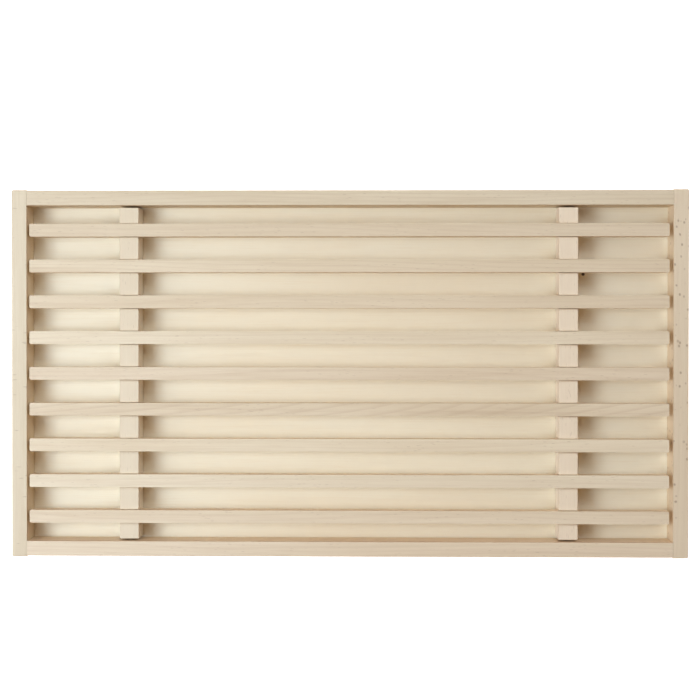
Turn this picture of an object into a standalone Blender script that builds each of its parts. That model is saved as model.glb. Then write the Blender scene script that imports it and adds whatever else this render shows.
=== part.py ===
"""Slatted bread board: a loose beech grid of nine slats lying in a shallow crumb tray.

Metres, +Z up. The origin is on the table, under the middle of the board, and +X runs along it.
"""

import math

import bmesh
import bpy
from mathutils import Matrix, Vector

# Tray
BOARD_LENGTH = 0.400  # over the two stiles
BOARD_WIDTH = 0.2175  # over the stile ends
BOARD_HEIGHT = 0.025
SIDE_THICKNESS = 0.009  # of rails and stiles, seen from above
RAIL_SETBACK = 0.0004  # the stile ends stand this far proud of the rails
OUTER_ROUNDING = 0.0012
INNER_SHARE = 0.25  # the inner top edges are rounded by this share of the outer ones
PANEL_THICKNESS = 0.004
PANEL_LIFT = 0.001  # underside of the panel above the table
GROOVE_DEPTH = 0.004

# Corner dowels
DOWEL_DIAMETER = 0.004
DOWEL_LENGTH = 0.018
DOWEL_IN_STILE = 0.006
DOWEL_CHAMFER = 0.0004
DOWEL_HEIGHTS = (0.0105, 0.0185)

# Grid
GRID_OFFSET = -0.0004  # the loose grid lies a little nearer the left stile
SLAT_COUNT = 9
SLAT_PITCH = 0.0212
SLAT_LENGTH = 0.378
SLAT_WIDTH = 0.0077
SLAT_HEIGHT = 0.010
SLAT_CHAMFER = 0.0004
BATTEN_SPACING = 0.260
BATTEN_LENGTH = 0.1965
BATTEN_WIDTH = 0.0115
BATTEN_DROP = 0.002  # the batten tops lie this far below the slat tops
BATTEN_CHAMFER = 0.0003

# Brads driven up through the battens into the slats
BRAD_LENGTH = 0.015
BRAD_RADIUS = 0.0007
BRAD_HEAD_RADIUS = 0.0013
BRAD_HEAD_HEIGHT = 0.0006
BRAD_TIP = 0.0015
BRAD_RECESS = 0.0003  # the head lies this far inside the batten's underside

CLEARANCE = 0.0003  # between pieces that touch
OVERCUT = 0.002  # a cutter runs this far past the face that it opens
ROUND_STEPS = 12

PANEL_TOP = PANEL_LIFT + PANEL_THICKNESS
INNER_LENGTH = BOARD_LENGTH - 2 * SIDE_THICKNESS
RAIL_LENGTH = INNER_LENGTH - 2 * CLEARANCE
RAIL_OUTER_Y = BOARD_WIDTH / 2 - RAIL_SETBACK
RAIL_Y = RAIL_OUTER_Y - SIDE_THICKNESS / 2
STILE_X = (BOARD_LENGTH - SIDE_THICKNESS) / 2
INNER_WIDTH = 2 * (RAIL_OUTER_Y - SIDE_THICKNESS)
BATTEN_BASE = PANEL_TOP + CLEARANCE
BATTEN_TOP = BOARD_HEIGHT - BATTEN_DROP
SLAT_BASE = BOARD_HEIGHT - SLAT_HEIGHT
BRAD_BASE = BATTEN_BASE + BRAD_RECESS

BEECH_FRAME = (0.66, 0.55, 0.41)
BEECH_SLAT = (0.69, 0.58, 0.44)
BEECH_BATTEN = (0.70, 0.59, 0.46)
BEECH_DOWEL = (0.64, 0.50, 0.35)
PLYWOOD = (0.76, 0.66, 0.50)
STEEL = (0.56, 0.57, 0.58)


def clear_scene():
    for item in list(bpy.data.objects):
        bpy.data.objects.remove(item, do_unlink=True)


def new_collection(name):
    collection = bpy.data.collections.new(name)
    bpy.context.scene.collection.children.link(collection)
    return collection


def new_finish(name, colour, roughness, metallic=0.0):
    finish = bpy.data.materials.new(name + "_finish")
    finish.use_nodes = True
    shader = finish.node_tree.nodes["Principled BSDF"]
    shader.inputs["Base Color"].default_value = (*colour, 1.0)
    shader.inputs["Roughness"].default_value = roughness
    shader.inputs["Metallic"].default_value = metallic
    return finish


def new_object(name, mesh, place, collection, parent=None):
    """Put a mesh in the scene at a world place, under its body's empty."""
    item = bpy.data.objects.new(name, mesh)
    collection.objects.link(item)
    item.parent = parent
    item.location = Vector(place) - (parent.location if parent else Vector())
    return item


def new_body(name, place, collection):
    empty = bpy.data.objects.new(name, None)
    collection.objects.link(empty)
    empty.location = place
    return empty


def box_mesh(name, size):
    shape = bmesh.new()
    bmesh.ops.create_cube(shape, size=1.0)
    bmesh.ops.scale(shape, vec=Vector(size), verts=shape.verts)
    mesh = bpy.data.meshes.new(name)
    shape.to_mesh(mesh)
    shape.free()
    return mesh


def rod_mesh(name, radius, length):
    """A rod lying along X, centred on its origin."""
    shape = bmesh.new()
    lie_down = Matrix.Rotation(math.pi / 2, 4, "Y")
    bmesh.ops.create_cone(
        shape,
        cap_ends=True,
        segments=ROUND_STEPS,
        radius1=radius,
        radius2=radius,
        depth=length,
        matrix=lie_down,
    )
    mesh = bpy.data.meshes.new(name)
    shape.to_mesh(mesh)
    shape.free()
    return mesh


def profile_mesh(name, points):
    """An open profile of (radius, height) points, from the top down its outer side."""
    shape = bmesh.new()
    corners = [shape.verts.new((radius, 0.0, height)) for radius, height in points]
    for upper, lower in zip(corners, corners[1:]):
        shape.edges.new((upper, lower))
    mesh = bpy.data.meshes.new(name)
    shape.to_mesh(mesh)
    shape.free()
    return mesh


def turn(item):
    screw = item.modifiers.new("Turn", "SCREW")
    screw.axis = "Z"
    screw.steps = ROUND_STEPS
    screw.render_steps = ROUND_STEPS
    screw.use_merge_vertices = True
    screw.merge_threshold = 0.00002
    screw.use_smooth_shade = True


def chamfer(item, width):
    bevel = item.modifiers.new("Chamfer", "BEVEL")
    bevel.width = width
    bevel.segments = 1
    bevel.limit_method = "ANGLE"


def round_edges(item, share_of):
    """Round each edge by its share of OUTER_ROUNDING, which share_of works out from its middle."""
    mesh = item.data
    weights = mesh.attributes.new("bevel_weight_edge", "FLOAT", "EDGE")
    for edge in mesh.edges:
        ends = [mesh.vertices[index].co for index in edge.vertices]
        weights.data[edge.index].value = share_of((ends[0] + ends[1]) / 2)
    bevel = item.modifiers.new("Round", "BEVEL")
    bevel.width = OUTER_ROUNDING
    bevel.segments = 3
    bevel.limit_method = "WEIGHT"


def cut(item, cutter):
    boolean = item.modifiers.new("Cut " + cutter.name, "BOOLEAN")
    boolean.operation = "DIFFERENCE"
    boolean.solver = "EXACT"
    boolean.object = cutter


def new_cutter(name, mesh, place, cutters):
    cutter = new_object(name, mesh, place, cutters)
    cutter.display_type = "WIRE"
    cutter.hide_render = True
    return cutter


def box_cutter(name, low, high, cutters):
    low = Vector(low)
    high = Vector(high)
    return new_cutter(name, box_mesh(name, high - low), (low + high) / 2, cutters)


def rail_rounding(outward):
    """Only the long edges are rounded: the outer two fully, the inner top one slightly."""

    def share_of(middle):
        if abs(middle.x) > SIDE_THICKNESS:
            return 0.0
        if middle.y * outward > 0:
            return 1.0
        return INNER_SHARE if middle.z > 0 else 0.0

    return share_of


def stile_rounding(outward):
    """The outer face's edges and the ends' top and bottom edges are rounded."""

    def share_of(middle):
        if middle.x * outward > 0.001 or abs(middle.x) < 0.001:
            return 1.0
        on_inner_top = middle.z > 0 and abs(middle.y) < SIDE_THICKNESS
        return INNER_SHARE if on_inner_top else 0.0

    return share_of


def make_rail(name, side, tray, parts):
    mesh = box_mesh(name, (RAIL_LENGTH, SIDE_THICKNESS, BOARD_HEIGHT))
    rail = new_object(name, mesh, (0, side * RAIL_Y, BOARD_HEIGHT / 2), parts, tray)
    rail.data.materials.append(new_finish(name, BEECH_FRAME, 0.62))
    round_edges(rail, rail_rounding(side))
    return rail


def make_stile(name, side, tray, parts):
    mesh = box_mesh(name, (SIDE_THICKNESS, BOARD_WIDTH, BOARD_HEIGHT))
    stile = new_object(name, mesh, (side * STILE_X, 0, BOARD_HEIGHT / 2), parts, tray)
    stile.data.materials.append(new_finish(name, BEECH_FRAME, 0.62))
    round_edges(stile, stile_rounding(side))
    return stile


def make_panel(tray, parts):
    """The panel floats in the grooves, clear of their bottoms."""
    reach = 2 * (GROOVE_DEPTH - CLEARANCE)
    size = (INNER_LENGTH + reach, INNER_WIDTH + reach, PANEL_THICKNESS)
    place = (0, 0, PANEL_LIFT + PANEL_THICKNESS / 2)
    panel = new_object("base_panel", box_mesh("base_panel", size), place, parts, tray)
    panel.data.materials.append(new_finish("base_panel", PLYWOOD, 0.7))


def cut_grooves(rails, stiles, cutters):
    """One block as large as the panel and its clearance grooves all four sides at once."""
    half_length = INNER_LENGTH / 2 + GROOVE_DEPTH
    half_width = INNER_WIDTH / 2 + GROOVE_DEPTH
    low = (-half_length, -half_width, PANEL_LIFT - CLEARANCE)
    high = (half_length, half_width, PANEL_TOP + CLEARANCE)
    groove = box_cutter("panel_groove", low, high, cutters)
    for side in rails + stiles:
        cut(side, groove)


def make_corner_dowels(rails, stiles, tray, parts, cutters):
    """Two blind dowels in each corner, out of the stile's inner face into the rail's end."""
    corners = [(rail, stile) for rail in rails for stile in stiles]
    for rail, stile in corners:
        corner = rail.name.replace("rail_", "") + "_" + stile.name.replace("stile_", "")
        side = 1 if stile.location.x > 0 else -1
        middle_x = side * (INNER_LENGTH / 2 + DOWEL_IN_STILE - DOWEL_LENGTH / 2)
        for level, height in zip(("lower", "upper"), DOWEL_HEIGHTS):
            name = f"dowel_{corner}_{level}"
            place = (middle_x, rail.location.y, height)
            mesh = rod_mesh(name, DOWEL_DIAMETER / 2, DOWEL_LENGTH)
            dowel = new_object(name, mesh, place, parts, tray)
            dowel.data.materials.append(new_finish(name, BEECH_DOWEL, 0.65))
            dowel.data.shade_smooth()
            dowel.data.set_sharp_from_angle(angle=math.radians(35))
            chamfer(dowel, DOWEL_CHAMFER)
            hole_radius = DOWEL_DIAMETER / 2 + CLEARANCE
            hole_mesh = rod_mesh(name + "_hole", hole_radius, DOWEL_LENGTH + 2 * CLEARANCE)
            hole = new_cutter(name + "_hole", hole_mesh, place, cutters)
            cut(rail, hole)
            cut(stile, hole)


def make_tray(tray, parts, cutters):
    rails = [make_rail("rail_front", -1, tray, parts), make_rail("rail_back", 1, tray, parts)]
    stiles = [make_stile("stile_left", -1, tray, parts), make_stile("stile_right", 1, tray, parts)]
    make_panel(tray, parts)
    cut_grooves(rails, stiles, cutters)
    make_corner_dowels(rails, stiles, tray, parts, cutters)


def slat_y(number):
    """Slat 1 is the one at the back."""
    return ((SLAT_COUNT + 1) / 2 - number) * SLAT_PITCH


def make_slat(number, grid, parts):
    name = f"slat_{number}"
    place = (GRID_OFFSET, slat_y(number), SLAT_BASE + SLAT_HEIGHT / 2)
    mesh = box_mesh(name, (SLAT_LENGTH, SLAT_WIDTH, SLAT_HEIGHT))
    slat = new_object(name, mesh, place, parts, grid)
    slat.data.materials.append(new_finish(name, BEECH_SLAT, 0.6))
    chamfer(slat, SLAT_CHAMFER)
    return slat


def make_batten(name, x, grid, parts, cutters):
    """A bar on edge with a notch for each slat in its top."""
    height = BATTEN_TOP - BATTEN_BASE
    mesh = box_mesh(name, (BATTEN_WIDTH, BATTEN_LENGTH, height))
    batten = new_object(name, mesh, (x, 0, BATTEN_BASE + height / 2), parts, grid)
    batten.data.materials.append(new_finish(name, BEECH_BATTEN, 0.6))
    chamfer(batten, BATTEN_CHAMFER)
    half_x = BATTEN_WIDTH / 2 + OVERCUT
    half_y = SLAT_WIDTH / 2 + CLEARANCE
    for number in range(1, SLAT_COUNT + 1):
        y = slat_y(number)
        low = (x - half_x, y - half_y, SLAT_BASE - CLEARANCE)
        high = (x + half_x, y + half_y, BATTEN_TOP + OVERCUT)
        cut(batten, box_cutter(f"{name}_notch_{number}", low, high, cutters))
    return batten


def brad_profile(grow):
    """Tip up and head down, as (radius, height) points; grow swells it into its own hole."""
    head_top = BRAD_HEAD_HEIGHT + grow
    base = -OVERCUT if grow else 0.0
    return [
        (0.0, BRAD_LENGTH + grow),
        (BRAD_RADIUS + grow, BRAD_LENGTH - BRAD_TIP + grow),
        (BRAD_RADIUS + grow, head_top),
        (BRAD_HEAD_RADIUS + grow, head_top),
        (BRAD_HEAD_RADIUS + grow, base),
        (0.0, base),
    ]


def make_brad(name, place, grid, parts):
    brad = new_object(name, profile_mesh(name, brad_profile(0.0)), place, parts, grid)
    brad.data.materials.append(new_finish(name, STEEL, 0.35, 1.0))
    turn(brad)


def brad_hole(name, place, cutters):
    mesh = profile_mesh(name + "_hole", brad_profile(CLEARANCE))
    hole = new_cutter(name + "_hole", mesh, place, cutters)
    turn(hole)
    return hole


def make_grid(grid, parts, cutters):
    slats = [make_slat(number, grid, parts) for number in range(1, SLAT_COUNT + 1)]
    for side, direction in (("left", -1), ("right", 1)):
        x = GRID_OFFSET + direction * BATTEN_SPACING / 2
        batten = make_batten("batten_" + side, x, grid, parts, cutters)
        for number, slat in enumerate(slats, start=1):
            name = f"brad_{side}_{number}"
            place = (x, slat_y(number), BRAD_BASE)
            make_brad(name, place, grid, parts)
            hole = brad_hole(name, place, cutters)
            cut(batten, hole)
            cut(slat, hole)


def main():
    clear_scene()
    parts = new_collection("slatted_bread_board")
    cutters = new_collection("cutters")
    tray = new_body("tray", (0, 0, 0), parts)
    grid = new_body("grid", (0, 0, PANEL_TOP), parts)
    make_tray(tray, parts, cutters)
    make_grid(grid, parts, cutters)


main()
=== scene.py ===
"""The looks of the slatted bread board: planed beech, a plywood panel, steel brads, soft studio light."""

import math
import random

import bmesh
import bpy
from mathutils import Matrix, Vector, noise


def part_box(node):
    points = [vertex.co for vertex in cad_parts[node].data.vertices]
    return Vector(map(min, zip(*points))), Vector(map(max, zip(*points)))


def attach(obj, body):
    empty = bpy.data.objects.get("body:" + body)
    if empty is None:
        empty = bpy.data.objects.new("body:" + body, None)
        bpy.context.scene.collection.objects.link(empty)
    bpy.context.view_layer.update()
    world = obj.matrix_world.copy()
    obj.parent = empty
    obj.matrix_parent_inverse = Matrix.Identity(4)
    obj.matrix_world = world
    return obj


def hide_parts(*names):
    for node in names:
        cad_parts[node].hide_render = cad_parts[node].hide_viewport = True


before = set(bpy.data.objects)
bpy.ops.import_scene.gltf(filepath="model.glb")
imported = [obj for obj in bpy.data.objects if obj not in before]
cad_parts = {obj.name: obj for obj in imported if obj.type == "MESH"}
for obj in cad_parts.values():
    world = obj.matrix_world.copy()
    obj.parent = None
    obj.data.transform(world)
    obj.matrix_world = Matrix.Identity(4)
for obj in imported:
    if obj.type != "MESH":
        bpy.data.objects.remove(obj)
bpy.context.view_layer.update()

MM = 0.001
NOISE_SEED = 7  # left alone, mathutils.noise takes its seed from the clock
SLAT_NAMES = [f"slat_{number}" for number in range(1, 10)]
SIDES = ("left", "right")

# Fits between the visible pieces, which are glued: far closer than the CAD's clearances.
GLUE_LINE = 0.04 * MM
NOTCH_PLAY = 0.08 * MM
SKIN = 0.06 * MM  # the wavering surface stays this far inside its node's box

OUTER_ROUNDING = 0.8 * MM
INNER_ROUNDING = 0.35 * MM
SLAT_ROUNDING = 0.45 * MM
SLAT_END_ROUNDING = 0.8 * MM
BATTEN_ROUNDING = 0.35 * MM
PANEL_ROUNDING = 0.15 * MM
CRISP = math.radians(50)  # edges sharper than this stay crisp

BRAD_SHANK = 0.7 * MM  # radius
HOLE_PLAY = 0.1 * MM  # round the dowels and brads, and round the panel in its groove
PANEL_SKIN = 0.02 * MM


# ---------------------------------------------------------------- materials


class Recipe:
    """A node material with short calls for the nodes that wood needs."""

    def __init__(self, name):
        self.material = bpy.data.materials.new(name)
        self.material.use_nodes = True
        self.nodes = self.material.node_tree.nodes
        self.links = self.material.node_tree.links
        self.shader = self.nodes["Principled BSDF"]

    def feed(self, socket, value):
        if isinstance(value, bpy.types.NodeSocket):
            self.links.new(value, socket)
        elif value is not None:
            socket.default_value = value

    def math(self, operation, first, second=None, third=None, clamp=False):
        node = self.nodes.new("ShaderNodeMath")
        node.operation = operation
        node.use_clamp = clamp
        for socket, value in zip(node.inputs, (first, second, third)):
            self.feed(socket, value)
        return node.outputs[0]

    def vector(self, operation, first, second=None, scale=None):
        node = self.nodes.new("ShaderNodeVectorMath")
        node.operation = operation
        self.feed(node.inputs[0], first)
        self.feed(node.inputs[1], second)
        self.feed(node.inputs[3], scale)
        return node.outputs["Value"] if operation == "DISTANCE" else node.outputs["Vector"]

    def remap(self, value, low, high, to_low=0.0, to_high=1.0, smooth=True):
        node = self.nodes.new("ShaderNodeMapRange")
        node.interpolation_type = "SMOOTHSTEP" if smooth else "LINEAR"
        sockets = ("Value", "From Min", "From Max", "To Min", "To Max")
        for name, number in zip(sockets, (value, low, high, to_low, to_high)):
            self.feed(node.inputs[name], number)
        return node.outputs["Result"]

    def noise(self, place, scale, detail=2.0, roughness=0.5, output="Fac"):
        node = self.nodes.new("ShaderNodeTexNoise")
        self.feed(node.inputs["Vector"], self.vector("MULTIPLY", place, scale))
        node.inputs["Scale"].default_value = 1.0
        node.inputs["Detail"].default_value = detail
        node.inputs["Roughness"].default_value = roughness
        return node.outputs[output]

    def cells(self, place, scale):
        """Distance to the nearest cell's middle, and that cell's own random colour."""
        node = self.nodes.new("ShaderNodeTexVoronoi")
        self.feed(node.inputs["Vector"], self.vector("MULTIPLY", place, scale))
        node.inputs["Scale"].default_value = 1.0
        return node.outputs["Distance"], node.outputs["Color"]

    def blend(self, share, first, second, mode="MIX"):
        node = self.nodes.new("ShaderNodeMix")
        node.data_type = "RGBA"
        node.blend_type = mode
        self.feed(node.inputs["Factor"], share)
        self.feed(node.inputs["A"], first)
        self.feed(node.inputs["B"], second)
        return node.outputs["Result"]

    def timber_place(self, along, seed):
        """Place in the plank's own timber: x runs along the grain, and each plank has its own tree."""
        draw = random.Random(seed)
        coordinates = self.nodes.new("ShaderNodeTexCoord")
        mapping = self.nodes.new("ShaderNodeMapping")
        self.feed(mapping.inputs["Vector"], coordinates.outputs["Object"])
        mapping.inputs["Location"].default_value = [draw.uniform(-3, 3) for _ in range(3)]
        turn = -math.pi / 2 if along == "y" else 0.0
        mapping.inputs["Rotation"].default_value = (0.0, 0.0, turn)
        return mapping.outputs["Vector"]

    def bump(self, height, distance, strength=1.0):
        node = self.nodes.new("ShaderNodeBump")
        self.feed(node.inputs["Height"], height)
        node.inputs["Distance"].default_value = distance
        node.inputs["Strength"].default_value = strength
        self.feed(self.shader.inputs["Normal"], node.outputs["Normal"])


def rgba(colour):
    return (*colour, 1.0)


def shade(colour, tint, share=1.0):
    return rgba([channel * part * share for channel, part in zip(colour, tint)])


BEECH_LIGHT = (0.740, 0.608, 0.435)
BEECH_MID = (0.695, 0.558, 0.388)
BEECH_DARK = (0.560, 0.412, 0.262)
BEECH_PALE = (0.790, 0.680, 0.530)
FLECK = (0.330, 0.215, 0.130)
SIDE_PAINTED_LIGHT = (1.20, 1.18, 1.19)  # painted light: a plank's sides are coloured lighter than its top, standing in for the light that falls on its inner walls
BATTEN_SIDE_PAINTED_LIGHT = (1.14, 1.20, 1.34)  # painted light: a batten's sides are coloured lighter and less yellow still

# Rays in beech: how they lie, as cells per metre, the share of cells that hold one, and how strongly
# it shows.
DASHES = {"scale": (210.0, 1500.0, 1500.0), "share": 0.22, "strength": 0.26}
CROSS_LINES = {"scale": (1050.0, 150.0, 150.0), "share": 0.11, "strength": 0.40}
DOTS = {"scale": (285.0, 345.0, 345.0), "share": 0.46, "strength": 0.60}
SPOT_CORE, SPOT_EDGE = 0.12, 0.34  # in cells, from a ray's middle
PATCH_LOW, PATCH_HIGH = 0.40, 0.52  # where rays begin to show, and where they show in full
SIDE_START, SIDE_FULL = 0.4 * MM, 1.2 * MM  # below the top face: the band where the painted light on the sides fades in

BOW, RIPPLE = 0.030, 0.0016  # how far the grain wanders over a plank's length, and how far it ripples, metres
PITH_REACH = (0.05, 0.11)  # from the plank to its tree's pith, metres
RING_WIDTH = (0.0019, 0.0028)
FLAME_RING = 0.6  # the rings of a slat with arches, against the others
LATE_START, RING_END = 0.45, 0.93  # late wood darkens over this part of a ring
FIGURE, FAINT_FIGURE = 0.16, 0.05  # how strongly the rings show


def ray_marks(recipe, place, kind, patch):
    """Small dark marks in some cells, kept to the patches where the saw met the rays."""
    distance, chance = recipe.cells(place, kind["scale"])
    draw = recipe.math("FRACT", recipe.vector("DISTANCE", chance, (0.0, 0.0, 0.0)))
    chosen = recipe.math("GREATER_THAN", draw, 1 - kind["share"])
    spot = recipe.remap(distance, SPOT_CORE, SPOT_EDGE, 1.0, 0.0)
    here = recipe.remap(patch, PATCH_LOW, PATCH_HIGH)
    return recipe.math("MULTIPLY", recipe.math("MULTIPLY", spot, chosen), here)


PLAIN = (1.0, 1.0, 1.0)


def beech(
    name, along, seed, tint=PLAIN, pale=0.0, rays=DASHES, figure=FIGURE, reach=None, lean=0.0,
    top=None, side_painted_light=SIDE_PAINTED_LIGHT,
):
    """Planed beech. figure is how strongly the rings show; lean tips them, which draws arches on the face.

    top is the height of the plank's top face, if its sides are to be painted lighter than it, as painted
    light; the last argument gives how much lighter, colour by colour.
    """
    recipe = Recipe(name)
    draw = random.Random(seed + 500)
    place = recipe.timber_place(along, seed)

    # Growth rings about a far pith, wandering slowly along the plank.
    wander = recipe.noise(place, (2.2, 9.0, 9.0), 2.0, 0.5, "Color")
    wander = recipe.vector("SUBTRACT", wander, (0.5, 0.5, 0.5))
    ripple = recipe.noise(place, (14.0, 90.0, 90.0), 2.0, 0.55, "Color")
    ripple = recipe.vector("SUBTRACT", ripple, (0.5, 0.5, 0.5))
    bent = recipe.vector("ADD", place, recipe.vector("SCALE", wander, scale=BOW))
    bent = recipe.vector("ADD", bent, recipe.vector("SCALE", ripple, scale=RIPPLE))
    across = recipe.vector("MULTIPLY", bent, (lean, 1.0, 1.0))
    angle = math.pi / 2 + draw.uniform(-0.5, 0.5)
    reach = reach or draw.uniform(*PITH_REACH)
    corner = recipe.nodes["Mapping"].inputs["Location"].default_value
    pith = (corner[0] * lean, corner[1] + math.cos(angle) * reach, corner[2] + math.sin(angle) * reach)
    if lean:
        pith = (pith[0] - 3 * reach, pith[1], pith[2])
    radius = recipe.vector("DISTANCE", across, pith)
    ring_width = draw.uniform(*RING_WIDTH) * (FLAME_RING if lean else 1.0)
    ring = recipe.math("FRACT", recipe.math("DIVIDE", radius, ring_width))
    late = recipe.remap(ring, LATE_START, RING_END)
    early = recipe.remap(ring, RING_END, 1.0, 1.0, 0.0)
    ring_line = recipe.math("MULTIPLY", late, early)

    # Fibres: long soft streaks, fine ones, and pores.
    streak = recipe.noise(place, (11.0, 420.0, 420.0), 3.0, 0.55)
    fibre = recipe.noise(place, (60.0, 2600.0, 2600.0), 2.0, 0.6)
    pore = recipe.noise(place, (900.0, 9000.0, 9000.0), 1.0, 0.5)
    cloud = recipe.noise(place, (5.0, 60.0, 60.0), 2.0, 0.5)
    patch = recipe.noise(place, (24.0, 110.0, 110.0), 2.0, 0.5)
    spot = ray_marks(recipe, bent, rays, patch)

    dark = shade(BEECH_DARK, tint)
    colour = recipe.blend(recipe.remap(cloud, 0.3, 0.7), shade(BEECH_MID, tint), shade(BEECH_LIGHT, tint))
    colour = recipe.blend(recipe.math("MULTIPLY", ring_line, figure), colour, dark)
    colour = recipe.blend(recipe.remap(streak, 0.45, 0.75, 0.0, 1.5 * figure), colour, dark)
    colour = recipe.blend(recipe.remap(streak, 0.25, 0.45, 0.20, 0.0), colour, shade(BEECH_LIGHT, tint, 1.05))
    colour = recipe.blend(recipe.remap(fibre, 0.40, 0.75, 0.0, 0.18), colour, dark)
    colour = recipe.blend(recipe.remap(pore, 0.62, 0.80, 0.0, 0.25), colour, dark)
    if pale:
        colour = recipe.blend(pale, colour, shade(BEECH_PALE, tint))
    colour = recipe.blend(recipe.math("MULTIPLY", spot, rays["strength"]), colour, rgba(FLECK))
    # Painted light: faces below the top are multiplied lighter, standing in for light on the sides; side is
    # the mask of this painted light.
    if top:
        split = recipe.nodes.new("ShaderNodeSeparateXYZ")
        recipe.feed(split.inputs["Vector"], recipe.nodes["Texture Coordinate"].outputs["Object"])
        side = recipe.remap(split.outputs["Z"], top - SIDE_FULL, top - SIDE_START, 1.0, 0.0)
        colour = recipe.blend(side, colour, rgba(side_painted_light), "MULTIPLY")
    recipe.feed(recipe.shader.inputs["Base Color"], colour)

    recipe.feed(recipe.shader.inputs["Roughness"], recipe.remap(fibre, 0.3, 0.7, 0.44, 0.58))
    recipe.shader.inputs["Specular IOR Level"].default_value = 0.5
    height = recipe.math("ADD", recipe.math("MULTIPLY", fibre, 0.6), recipe.math("MULTIPLY", streak, 0.4))
    height = recipe.math("SUBTRACT", height, recipe.math("MULTIPLY", pore, 0.35))
    height = recipe.math("SUBTRACT", height, recipe.math("MULTIPLY", spot, 0.3))
    recipe.bump(height, 0.00005)
    return recipe.material


PLY_LIGHT = (0.931, 0.853, 0.682)
PLY_MID = (0.919, 0.827, 0.647)
PLY_DARK = (0.842, 0.695, 0.489)
KNOT = (0.060, 0.025, 0.012)
KNOT_RADIUS = 1.3 * MM
KNOT_RIGHT, KNOT_FRONT = 5.1 * MM, 0.3 * MM  # from the right batten's side and from slat 2's


def knot_place():
    """The pin knot shows just in front of slat 2, beside the right batten."""
    batten_edge, slat_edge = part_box("batten_right")[1].x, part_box("slat_2")[0].y
    return Vector((batten_edge + KNOT_RIGHT, slat_edge - KNOT_FRONT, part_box("base_panel")[1].z))


def plywood(name, seed):
    """A pale peeled face veneer: broad soft figure, faint fibres, small pores and one pin knot."""
    recipe = Recipe(name)
    place = recipe.timber_place("x", seed)
    swirl = recipe.noise(place, (1.6, 16.0, 3.0), 3.0, 0.5)
    band = recipe.math("SINE", recipe.math("MULTIPLY", swirl, 34.0))
    cloud = recipe.noise(place, (4.0, 22.0, 5.0), 3.0, 0.55)
    fibre = recipe.noise(place, (35.0, 1500.0, 600.0), 3.0, 0.6)
    pore = recipe.noise(place, (260.0, 3800.0, 3800.0), 1.0, 0.5)
    here = recipe.nodes["Texture Coordinate"].outputs["Object"]
    from_knot = recipe.vector("DISTANCE", here, knot_place())
    knot = recipe.remap(from_knot, 0.4 * KNOT_RADIUS, KNOT_RADIUS, 1.0, 0.0)
    colour = recipe.blend(recipe.remap(cloud, 0.3, 0.7), rgba(PLY_MID), rgba(PLY_LIGHT))
    colour = recipe.blend(recipe.remap(band, 0.2, 1.0, 0.0, 0.14), colour, rgba(PLY_DARK))
    colour = recipe.blend(recipe.remap(fibre, 0.45, 0.75, 0.0, 0.20), colour, rgba(PLY_DARK))
    colour = recipe.blend(recipe.remap(pore, 0.66, 0.80, 0.0, 0.25), colour, rgba(PLY_DARK))
    colour = recipe.blend(recipe.math("MULTIPLY", knot, 0.95), colour, rgba(KNOT))
    recipe.feed(recipe.shader.inputs["Base Color"], colour)
    recipe.feed(recipe.shader.inputs["Roughness"], recipe.remap(fibre, 0.3, 0.7, 0.42, 0.56))
    recipe.shader.inputs["Specular IOR Level"].default_value = 0.5
    recipe.bump(recipe.math("ADD", fibre, recipe.math("MULTIPLY", pore, -0.4)), 0.00004)
    return recipe.material


STEEL_BRIGHT = (0.60, 0.60, 0.61)
STEEL_DULL = (0.42, 0.41, 0.40)


def drawn_steel(name):
    """Wire drawn through a die: bright, with fine lines along it and a few dull patches."""
    recipe = Recipe(name)
    coordinates = recipe.nodes.new("ShaderNodeTexCoord").outputs["Object"]
    lines = recipe.noise(coordinates, (9000.0, 9000.0, 300.0), 2.0, 0.6)
    patch = recipe.noise(coordinates, (900.0, 900.0, 900.0), 2.0, 0.5)
    colour = recipe.blend(recipe.remap(patch, 0.4, 0.7), rgba(STEEL_BRIGHT), rgba(STEEL_DULL))
    recipe.feed(recipe.shader.inputs["Base Color"], colour)
    recipe.feed(recipe.shader.inputs["Roughness"], recipe.remap(lines, 0.3, 0.7, 0.25, 0.45))
    recipe.shader.inputs["Metallic"].default_value = 1.0
    recipe.bump(lines, 0.00001)
    return recipe.material


# ---------------------------------------------------------------- shapes


def plank_mesh(low, high, along, radii, step=5 * MM):
    """A squared bar from low to high, sliced along its grain, with each edge rounded by what radii says.

    radii(middle, direction) gives an edge's rounding from its middle, measured from the bar's own middle,
    and its axis.
    """
    bar = bmesh.new()
    bmesh.ops.create_cube(bar, size=1.0)
    bmesh.ops.scale(bar, vec=high - low, verts=bar.verts)
    bmesh.ops.translate(bar, vec=(low + high) / 2, verts=bar.verts)
    middle = (low + high) / 2
    by_radius = {}
    for edge in bar.edges:
        first, second = edge.verts[0].co, edge.verts[1].co
        direction = max(range(3), key=lambda axis: abs(first[axis] - second[axis]))
        radius = radii((first + second) / 2 - middle, direction)
        if radius:
            by_radius.setdefault(radius, []).append(edge)
    for radius, edges in sorted(by_radius.items(), reverse=True):
        live = [edge for edge in edges if edge.is_valid]
        bmesh.ops.bevel(
            bar, geom=live, offset=radius, segments=3, profile=0.5, affect="EDGES", clamp_overlap=True
        )
    axis = "xy".index(along)
    normal = Vector((0, 0, 0))
    normal[axis] = 1.0
    slices = int((high[axis] - low[axis]) / step)
    for number in range(1, slices):
        point = low.copy()
        point[axis] = low[axis] + (high[axis] - low[axis]) * number / slices
        geometry = bar.verts[:] + bar.edges[:] + bar.faces[:]
        bmesh.ops.bisect_plane(bar, geom=geometry, dist=1e-6, plane_co=point, plane_no=normal)
    return bar


def waver(bar, along, seed, amount):
    """Shift the surface by a slow noise, as planing and sanding leave it."""
    stretch = Vector((14, 90, 90)) if along == "x" else Vector((90, 14, 90))
    shift = Vector((seed * 3.7, seed * 1.3, 0))
    for vertex in bar.verts:
        place = Vector(a * b for a, b in zip(vertex.co, stretch)) + shift
        vertex.co += noise.noise_vector(place) * amount


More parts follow.
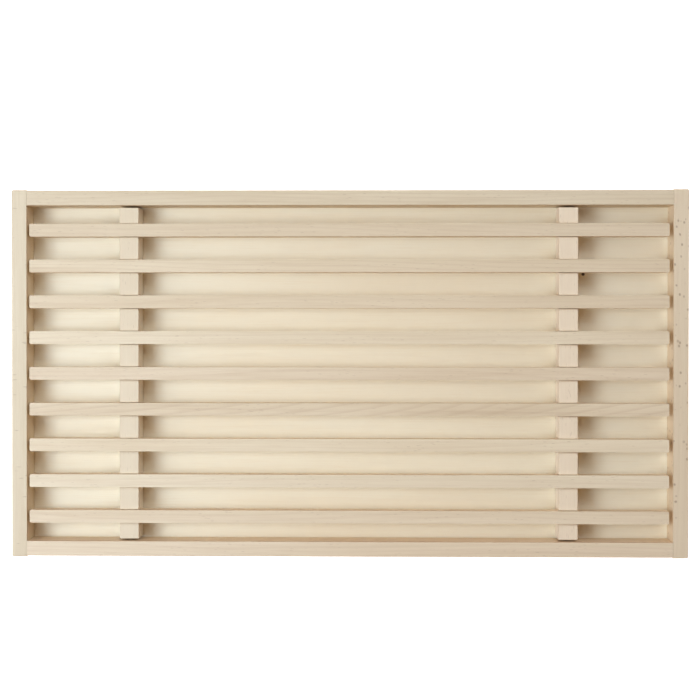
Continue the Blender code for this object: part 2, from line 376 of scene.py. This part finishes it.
def finish_piece(name, bar, body, nodes, material):
    """Make the object, shade it smooth between its crisp edges, and tie it to the frame."""
    mesh = bpy.data.meshes.new(name)
    bar.to_mesh(mesh)
    bar.free()
    piece = bpy.data.objects.new(name, mesh)
    bpy.context.scene.collection.objects.link(piece)
    mesh.materials.append(material)
    mesh.shade_smooth()
    mesh.set_sharp_from_angle(angle=CRISP)
    even = piece.modifiers.new("Even_normals", "WEIGHTED_NORMAL")
    even.keep_sharp = True
    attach(piece, body)
    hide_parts(*nodes)
    return piece


def carve(piece, cutters):
    """Cut holes and grooves into a finished piece, and keep the result as its mesh."""
    for cutter in cutters:
        boolean = piece.modifiers.new("Cut", "BOOLEAN")
        boolean.solver = "EXACT"
        boolean.object = cutter
        piece.modifiers.move(piece.modifiers.find("Cut"), 0)
        boolean.name = "Cut_done"
    evaluated = piece.evaluated_get(bpy.context.evaluated_depsgraph_get())
    carved = bpy.data.meshes.new_from_object(evaluated)
    for modifier in list(piece.modifiers):
        piece.modifiers.remove(modifier)
    piece.data = carved
    for cutter in cutters:
        bpy.data.objects.remove(cutter, do_unlink=True)


def cutter_from(shape, name):
    mesh = bpy.data.meshes.new(name)
    shape.to_mesh(mesh)
    shape.free()
    cutter = bpy.data.objects.new(name, mesh)
    bpy.context.scene.collection.objects.link(cutter)
    return cutter


def box_cutter(low, high):
    shape = bmesh.new()
    bmesh.ops.create_cube(shape, size=1.0)
    bmesh.ops.scale(shape, vec=high - low, verts=shape.verts)
    bmesh.ops.translate(shape, vec=(low + high) / 2, verts=shape.verts)
    return cutter_from(shape, "box_cutter")


def round_cutter(middle, radius, length, axis):
    turn = Matrix.Rotation(math.pi / 2, 4, "Y") if axis == "x" else Matrix.Identity(4)
    shape = bmesh.new()
    place = Matrix.Translation(middle) @ turn
    bmesh.ops.create_cone(
        shape, cap_ends=True, segments=24, radius1=radius, radius2=radius, depth=length, matrix=place
    )
    return cutter_from(shape, "round_cutter")


# ---------------------------------------------------------------- pieces

# Each plank comes from its own tree: its colour against the mean beech.
TINTS = {
    "rail_back": (0.936, 0.967, 0.970),
    "rail_front": (1.013, 1.032, 1.056),
    "stile_left": (0.950, 0.991, 1.007),
    "stile_right": (1.005, 1.033, 1.054),
    "slat_1": (0.943, 0.956, 0.954),
    "slat_2": (0.983, 1.009, 1.013),
    "slat_3": (0.970, 0.987, 0.985),
    "slat_4": (1.030, 1.076, 1.100),
    "slat_5": (0.983, 0.997, 1.010),
    "slat_6": (0.984, 1.007, 1.016),
    "slat_7": (1.037, 1.081, 1.103),
    "slat_8": (1.036, 1.085, 1.120),
    "slat_9": (1.014, 1.041, 1.062),
    "batten_left": (0.966, 0.977, 0.960),
    "batten_right": (1.051, 1.052, 1.050),
}


def inset(node, amount=SKIN):
    low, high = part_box(node)
    margin = Vector((amount, amount, amount))
    return low + margin, high - margin


def side_radii(outward_axis, outward, ends_rounded):
    """Rounding for a rail or stile: full outside, slight on the inner top edge."""

    def radii(middle, direction):
        long_edge = direction == 1 - outward_axis
        outside = middle[outward_axis] * outward > 0
        if long_edge:
            if outside:
                return OUTER_ROUNDING
            return INNER_ROUNDING if middle.z > 0 else 0.0
        if not ends_rounded:
            return 0.0
        return OUTER_ROUNDING if direction == outward_axis or outside else 0.0

    return radii


def groove_cutter():
    panel_low, panel_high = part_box("base_panel")
    play = Vector((1, 1, 1)) * HOLE_PLAY
    return box_cutter(panel_low - play, panel_high + play)


def dowel_cutters(piece_low, piece_high):
    cutters = []
    for name in sorted(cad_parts):
        if not name.startswith("dowel_"):
            continue
        low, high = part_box(name)
        middle = (low + high) / 2
        if piece_low.y < middle.y < piece_high.y and low.x < piece_high.x and high.x > piece_low.x:
            radius = (high.z - low.z) / 2 + HOLE_PLAY
            cutters.append(round_cutter(middle, radius, high.x - low.x + 2 * HOLE_PLAY, "x"))
    return cutters


def make_rails():
    for name, outward, seed in (("rail_back", 1, 11), ("rail_front", -1, 12)):
        low, high = inset(name)
        stile_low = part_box("stile_left")[1].x
        stile_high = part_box("stile_right")[0].x
        low.x, high.x = stile_low + GLUE_LINE, stile_high - GLUE_LINE
        bar = plank_mesh(low, high, "x", side_radii(1, outward, False))
        waver(bar, "x", seed, SKIN / 2)
        material = beech("beech_" + name, "x", seed, TINTS[name], top=high.z)
        rail = finish_piece(name + "_look", bar, "tray", [name], material)
        carve(rail, [groove_cutter()] + dowel_cutters(low, high))


def make_stiles():
    for name, outward, seed in (("stile_left", -1, 21), ("stile_right", 1, 22)):
        low, high = inset(name)
        bar = plank_mesh(low, high, "y", side_radii(0, outward, True))
        waver(bar, "y", seed, SKIN / 2)
        rays = DOTS if outward > 0 else CROSS_LINES
        material = beech(
            "beech_" + name, "y", seed, TINTS[name], rays=rays, figure=FAINT_FIGURE, top=high.z
        )
        stile = finish_piece(name + "_look", bar, "tray", [name], material)
        carve(stile, [groove_cutter()] + dowel_cutters(low, high))


def make_panel():
    low, high = inset("base_panel", PANEL_SKIN)
    bar = plank_mesh(low, high, "x", lambda middle, direction: PANEL_ROUNDING, 20 * MM)
    material = plywood("plywood_panel", 31)
    finish_piece("base_panel_look", bar, "tray", ["base_panel"], material)


def slat_radii(middle, direction):
    return SLAT_END_ROUNDING if direction == 2 else SLAT_ROUNDING


def brad_cutters(names, wide):
    """Holes for the brads: wide ones pass the head, the others only the shank."""
    cutters = []
    for name in names:
        low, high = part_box(name)
        radius = (high.x - low.x) / 2 if wide else BRAD_SHANK
        cutters.append(round_cutter((low + high) / 2, radius + HOLE_PLAY, high.z - low.z + 1 * MM, "z"))
    return cutters


FLAME = {6: (0.014, 0.055, 0.34), 2: (0.030, 0.030, 0.24)}  # slat: pith's reach, rings' lean, figure


def make_slats():
    for number, name in enumerate(SLAT_NAMES, start=1):
        low, high = inset(name)
        bar = plank_mesh(low, high, "x", slat_radii)
        waver(bar, "x", 40 + number, SKIN)
        reach, lean, figure = FLAME.get(number, (None, 0.0, FIGURE))
        material = beech(
            f"beech_{name}", "x", 60 + number, TINTS[name], figure=figure, reach=reach, lean=lean, top=high.z
        )
        slat = finish_piece(name + "_look", bar, "grid", [name], material)
        carve(slat, brad_cutters([f"brad_{side}_{number}" for side in SIDES], False))


def comb_mesh(low, high):
    """The batten's side outline, notched for every slat, extruded across its width."""
    outline = [(low.y, low.z), (high.y, low.z), (high.y, high.z)]
    for name in SLAT_NAMES:
        slat_low, slat_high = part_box(name)
        floor = slat_low.z - NOTCH_PLAY
        outline.append((slat_high.y + NOTCH_PLAY, high.z))
        outline.append((slat_high.y + NOTCH_PLAY, floor))
        outline.append((slat_low.y - NOTCH_PLAY, floor))
        outline.append((slat_low.y - NOTCH_PLAY, high.z))
    outline.append((low.y, high.z))
    comb = bmesh.new()
    corners = [comb.verts.new((low.x, y, z)) for y, z in outline]
    face = comb.faces.new(corners)
    grown = bmesh.ops.extrude_face_region(comb, geom=[face])
    moved = [item for item in grown["geom"] if isinstance(item, bmesh.types.BMVert)]
    bmesh.ops.translate(comb, vec=(high.x - low.x, 0, 0), verts=moved)
    bmesh.ops.recalc_face_normals(comb, faces=comb.faces)
    crest = [edge for edge in comb.edges if all(abs(v.co.z - high.z) < 1e-6 for v in edge.verts)]
    base = [edge for edge in comb.edges if all(abs(v.co.z - low.z) < 1e-6 for v in edge.verts)]
    bmesh.ops.bevel(comb, geom=crest + base, offset=BATTEN_ROUNDING, segments=2, profile=0.5, affect="EDGES")
    return comb


def make_battens():
    for side, seed in zip(SIDES, (81, 82)):
        name = "batten_" + side
        low, high = inset(name)
        comb = comb_mesh(low, high)
        waver(comb, "y", seed, SKIN / 2)
        # The battens' sides get a stronger painted light than the other planks' sides.
        material = beech(
            "beech_" + name, "y", seed, TINTS[name], pale=0.45, figure=FAINT_FIGURE, top=high.z,
            side_painted_light=BATTEN_SIDE_PAINTED_LIGHT,
        )
        batten = finish_piece(name + "_look", comb, "grid", [name], material)
        carve(batten, brad_cutters([f"brad_{side}_{number}" for number in range(1, 10)], True))


def dress_hidden_pieces():
    """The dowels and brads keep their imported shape."""
    steel = drawn_steel("drawn_steel")
    dowel = beech("beech_dowel", "x", 91)
    for name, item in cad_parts.items():
        if name.startswith(("brad_", "dowel_")):
            item.data.materials.clear()
            item.data.materials.append(steel if name.startswith("brad_") else dowel)


# ---------------------------------------------------------------- studio


FLOOR_SIZE = 40.0
FLOOR_DIM, FLOOR_BRIGHT = (0.86, 0.86, 0.86), (0.90, 0.90, 0.90)
FLOOR_GLOW = 0.70  # lifts the floor to plain white


def make_floor():
    bpy.ops.mesh.primitive_plane_add(size=FLOOR_SIZE, location=(0, 0, 0))
    floor = bpy.context.object
    floor.name = "studio_floor"
    recipe = Recipe("studio_white")
    grain = recipe.noise(recipe.nodes.new("ShaderNodeTexCoord").outputs["Object"], (3.0, 3.0, 3.0))
    colour = recipe.blend(grain, rgba(FLOOR_DIM), rgba(FLOOR_BRIGHT))
    recipe.feed(recipe.shader.inputs["Base Color"], colour)
    recipe.shader.inputs["Roughness"].default_value = 0.9
    recipe.shader.inputs["Emission Color"].default_value = (1.0, 1.0, 1.0, 1.0)
    recipe.shader.inputs["Emission Strength"].default_value = FLOOR_GLOW
    floor.data.materials.append(recipe.material)


def softbox(name, place, target, size, energy, colour):
    data = bpy.data.lights.new(name, "AREA")
    data.shape = "RECTANGLE"
    data.size, data.size_y = size
    data.energy = energy
    data.color = colour
    lamp = bpy.data.objects.new(name, data)
    bpy.context.scene.collection.objects.link(lamp)
    lamp.location = place
    lamp.rotation_euler = (Vector(target) - Vector(place)).to_track_quat("-Z", "Y").to_euler()


COOL = (0.711, 0.841, 0.978)
REACH = 1.15  # from the board's middle to each softbox
BOX_SIZE = (0.40, 0.40)
SOFTBOXES = (  # name, degrees from straight up, degrees round from the right, watts
    ("key", 34, 180, 6.6),
    ("key_low", 50, 188, 1.7),
    ("key_front", 32, 220, 2.1),
    ("key_high", 16, 180, 1.8),
    ("back", 34, 74, 3.6),
    ("back_right", 32, 36, 1.9),
    ("right_low", 60, 8, 0.8),
)
# Sine of the height above the horizon, colour: a pale backdrop, then a warm room that darkens upwards.
SKY = (
    (0.00, (0.850, 0.840, 0.830)),
    (0.08, (0.850, 0.840, 0.830)),
    (0.20, (0.440, 0.229, 0.106)),
    (1.00, (0.100, 0.052, 0.024)),
)


def make_lights():
    """A broad key on the left, a weaker fill from the back and right, and a warm room."""
    for name, lean, turn, watts in SOFTBOXES:
        up = Vector((0, 0, REACH))
        up.rotate(Matrix.Rotation(math.radians(lean), 3, "Y"))
        up.rotate(Matrix.Rotation(math.radians(turn), 3, "Z"))
        softbox(name, up, (0.0, 0.0, 0.0), BOX_SIZE, watts, COOL)
    world = bpy.data.worlds.new("studio")
    bpy.context.scene.world = world
    world.use_nodes = True
    nodes, links = world.node_tree.nodes, world.node_tree.links
    split = nodes.new("ShaderNodeSeparateXYZ")
    ramp = nodes.new("ShaderNodeValToRGB")
    links.new(nodes.new("ShaderNodeTexCoord").outputs["Generated"], split.inputs["Vector"])
    links.new(split.outputs["Z"], ramp.inputs["Fac"])
    links.new(ramp.outputs["Color"], nodes["Background"].inputs["Color"])
    stops = ramp.color_ramp.elements
    for height, colour in SKY[1:-1]:
        stops.new(height)
    for stop, (height, colour) in zip(stops, SKY):
        stop.position = height
        stop.color = rgba(colour)


LENS = 78.04  # mm, on a plate 36 mm wide
PLATE_WIDTH = 36.0
CAMERA_PLACE = (0.0188, 0.0231)  # over the board, from its middle
CAMERA_HEIGHT = 0.9154  # above the panel's top
CAMERA_TILT = (-0.01017, 0.02016, 0.00046)  # from straight down, radians


def make_camera():
    data = bpy.data.cameras.new("camera")
    data.sensor_width = PLATE_WIDTH
    data.lens = LENS
    data.clip_start = 0.01
    camera = bpy.data.objects.new("camera", data)
    bpy.context.scene.collection.objects.link(camera)
    camera.location = (*CAMERA_PLACE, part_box("base_panel")[1].z + CAMERA_HEIGHT)
    camera.rotation_euler = CAMERA_TILT
    bpy.context.scene.camera = camera


CONTRAST = 1.2  # of the photograph, against a plain sRGB picture


def main():
    noise.seed_set(NOISE_SEED)
    make_camera()
    make_rails()
    make_stiles()
    make_panel()
    make_slats()
    make_battens()
    dress_hidden_pieces()
    make_floor()
    make_lights()
    view = bpy.context.scene.view_settings
    view.view_transform = "Standard"
    view.gamma = 1 / CONTRAST


main()
